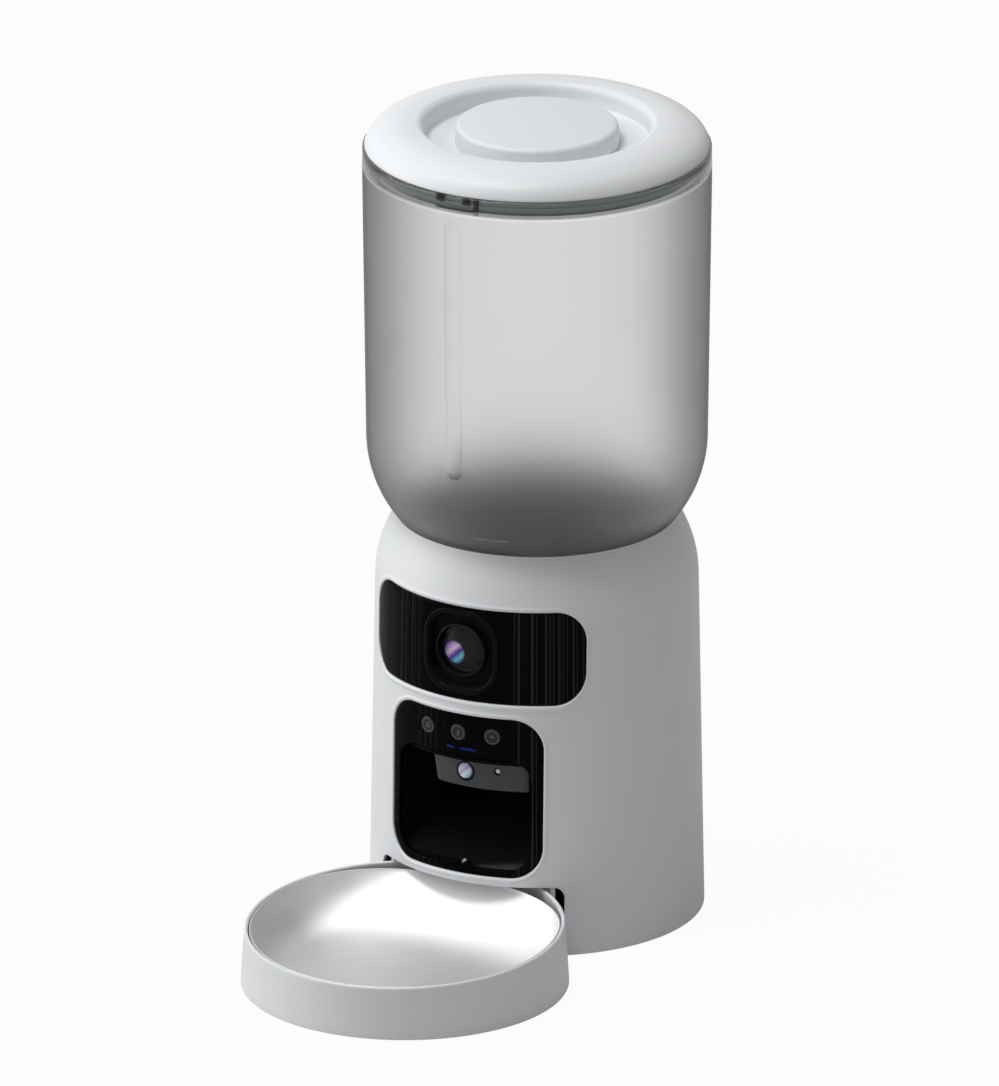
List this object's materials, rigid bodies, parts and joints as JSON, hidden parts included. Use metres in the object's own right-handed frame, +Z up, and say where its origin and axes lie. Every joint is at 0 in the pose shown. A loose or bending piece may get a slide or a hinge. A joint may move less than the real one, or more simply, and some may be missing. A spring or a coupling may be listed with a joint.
{
  "type": "automatic pet feeder",
  "caption": "Automatic pet feeder: round white base with cameras, keys and food mouth, lift-off smoked hopper under a puffed lid, and a steel bowl in a docking tray.",
  "frame": {"origin": "on the floor, in the middle of the footprint of base and tray", "axes": "+Z up; -Y is the front, where the bowl stands; +X is the right-hand side seen from the front"},
  "size_m": [0.1812, 0.3165, 0.4291],
  "materials": {
    "white_body": "satin white moulded shell",
    "base_plate": "matte white moulded plate",
    "foot_rubber": "matte grey rubber",
    "screw_steel": "zinc plated",
    "hopper_seat": "matte light grey",
    "rotor_chamber": "matte light grey",
    "portion_baffle": "matte light grey",
    "chute_liner": "gloss black moulding",
    "tray_dock": "matte light grey",
    "camera_window": "gloss black panel",
    "camera_bezel": "gloss black moulding",
    "camera_barrel": "satin black",
    "camera_lens": "coated glass",
    "camera_board": "green circuit board",
    "control_panel": "gloss black panel",
    "key_board": "green circuit board",
    "sensor_bar": "satin dark grey",
    "bowl_camera": "satin black",
    "bowl_camera_lens": "coated glass",
    "sensor_eye": "clear moulded window",
    "status_light": "clear light guide",
    "motor_bracket": "zinc plated sheet",
    "gear_motor": "plated can and gearbox",
    "shaft_bush": "sintered bronze",
    "main_board": "green circuit board",
    "speaker": "black cone in a grey frame",
    "power_socket": "plated inlet",
    "battery_box": "matte dark grey",
    "battery_contacts": "nickel plated",
    "battery_door": "matte white",
    "smoked_hopper": "smoked and frosted clear plastic",
    "outlet_seal": "soft dark grey",
    "lid_white": "satin white",
    "lid_grip": "satin white",
    "lid_liner": "matte white",
    "lid_seal": "dark grey silicone",
    "desiccant_pack": "non-woven sachet",
    "desiccant_cover": "matte white",
    "rotor_shaft": "turned steel",
    "rotor_hub": "matte light grey",
    "rotor_paddles": "soft silicone",
    "drive_gear": "natural acetal",
    "motor_shaft": "turned steel",
    "motor_pinion": "natural acetal",
    "tray_white": "satin white",
    "bowl_steel": "bright satin stainless steel",
    "tray_feet": "matte grey rubber",
    "feed_key": "satin dark grey",
    "talk_key": "satin dark grey",
    "reset_key": "satin dark grey"
  },
  "bodies": {
    "base": {"base_shell": "white_body", "base_plate": "base_plate", "rubber_feet": "foot_rubber", "base_screws": "screw_steel", "hopper_seat": "hopper_seat", "rotor_chamber": "rotor_chamber", "portion_baffle": "portion_baffle", "chute_liner": "chute_liner", "tray_dock": "tray_dock", "camera_window": "camera_window", "camera_bezel": "camera_bezel", "camera_barrel": "camera_barrel", "camera_lens": "camera_lens", "camera_board": "camera_board", "control_panel": "control_panel", "key_board": "key_board", "sensor_bar": "sensor_bar", "bowl_camera": "bowl_camera", "bowl_camera_lens": "bowl_camera_lens", "sensor_eye": "sensor_eye", "status_light": "status_light", "motor_bracket": "motor_bracket", "gear_motor": "gear_motor", "shaft_bush": "shaft_bush", "main_board": "main_board", "speaker": "speaker", "power_socket": "power_socket", "battery_box": "battery_box", "battery_contacts": "battery_contacts"},
    "battery_door": {"battery_door": "battery_door"},
    "hopper": {"hopper_tank": "smoked_hopper", "outlet_seal": "outlet_seal"},
    "lid": {"lid_shell": "lid_white", "lid_grip": "lid_grip", "lid_liner": "lid_liner", "lid_seal": "lid_seal", "desiccant_pack": "desiccant_pack"},
    "desiccant_cover": {"desiccant_cover": "desiccant_cover"},
    "rotor": {"rotor_shaft": "rotor_shaft", "rotor_hub": "rotor_hub", "rotor_paddles": "rotor_paddles", "drive_gear": "drive_gear"},
    "pinion": {"motor_shaft": "motor_shaft", "motor_pinion": "motor_pinion"},
    "tray": {"feed_tray": "tray_white", "steel_bowl": "bowl_steel", "tray_feet": "tray_feet"},
    "feed_key": {"feed_key": "feed_key"},
    "talk_key": {"talk_key": "talk_key"},
    "reset_key": {"reset_key": "reset_key"}
  },
  "joints": [
    {"name": "hopper_lift", "type": "slide", "parent": "base", "child": "hopper", "axis": [0, 0, 1], "range_m": [0, 0.12]},
    {"name": "lid_lift", "type": "slide", "parent": "hopper", "child": "lid", "axis": [0, 0, 1], "range_m": [0, 0.12]},
    {"name": "desiccant_cover_slide", "type": "slide", "parent": "lid", "child": "desiccant_cover", "axis": [0, 0, -1], "range_m": [0, 0.03]},
    {"name": "rotor_spin", "type": "hinge", "parent": "base", "child": "rotor", "pos_m": [0, 0.06765, 0.15], "axis": [0, 0, 1], "continuous": true},
    {"name": "pinion_spin", "type": "hinge", "parent": "base", "child": "pinion", "pos_m": [0, 0.10065, 0.15], "axis": [0, 0, 1], "continuous": true},
    {"name": "tray_slide", "type": "slide", "parent": "base", "child": "tray", "axis": [0, -1, 0], "range_m": [0, 0.12]},
    {"name": "feed_key_press", "type": "slide", "parent": "base", "child": "feed_key", "axis": [0.225, 0.9744, 0], "range_m": [0, 0.0008], "stiffness_N_per_m": 600},
    {"name": "talk_key_press", "type": "slide", "parent": "base", "child": "talk_key", "axis": [0, 1, 0], "range_m": [0, 0.0008], "stiffness_N_per_m": 600},
    {"name": "reset_key_press", "type": "slide", "parent": "base", "child": "reset_key", "axis": [-0.225, 0.9744, 0], "range_m": [0, 0.0008], "stiffness_N_per_m": 600},
    {"name": "battery_door_hinge", "type": "hinge", "parent": "base", "child": "battery_door", "pos_m": [0, 0.0217, 0.00375], "axis": [-1, 0, 0], "range_deg": [0, 90]}
  ],
  "couplings": [
    {"joint": "pinion_spin", "follows": "rotor_spin", "ratio": -3.4}
  ]
}
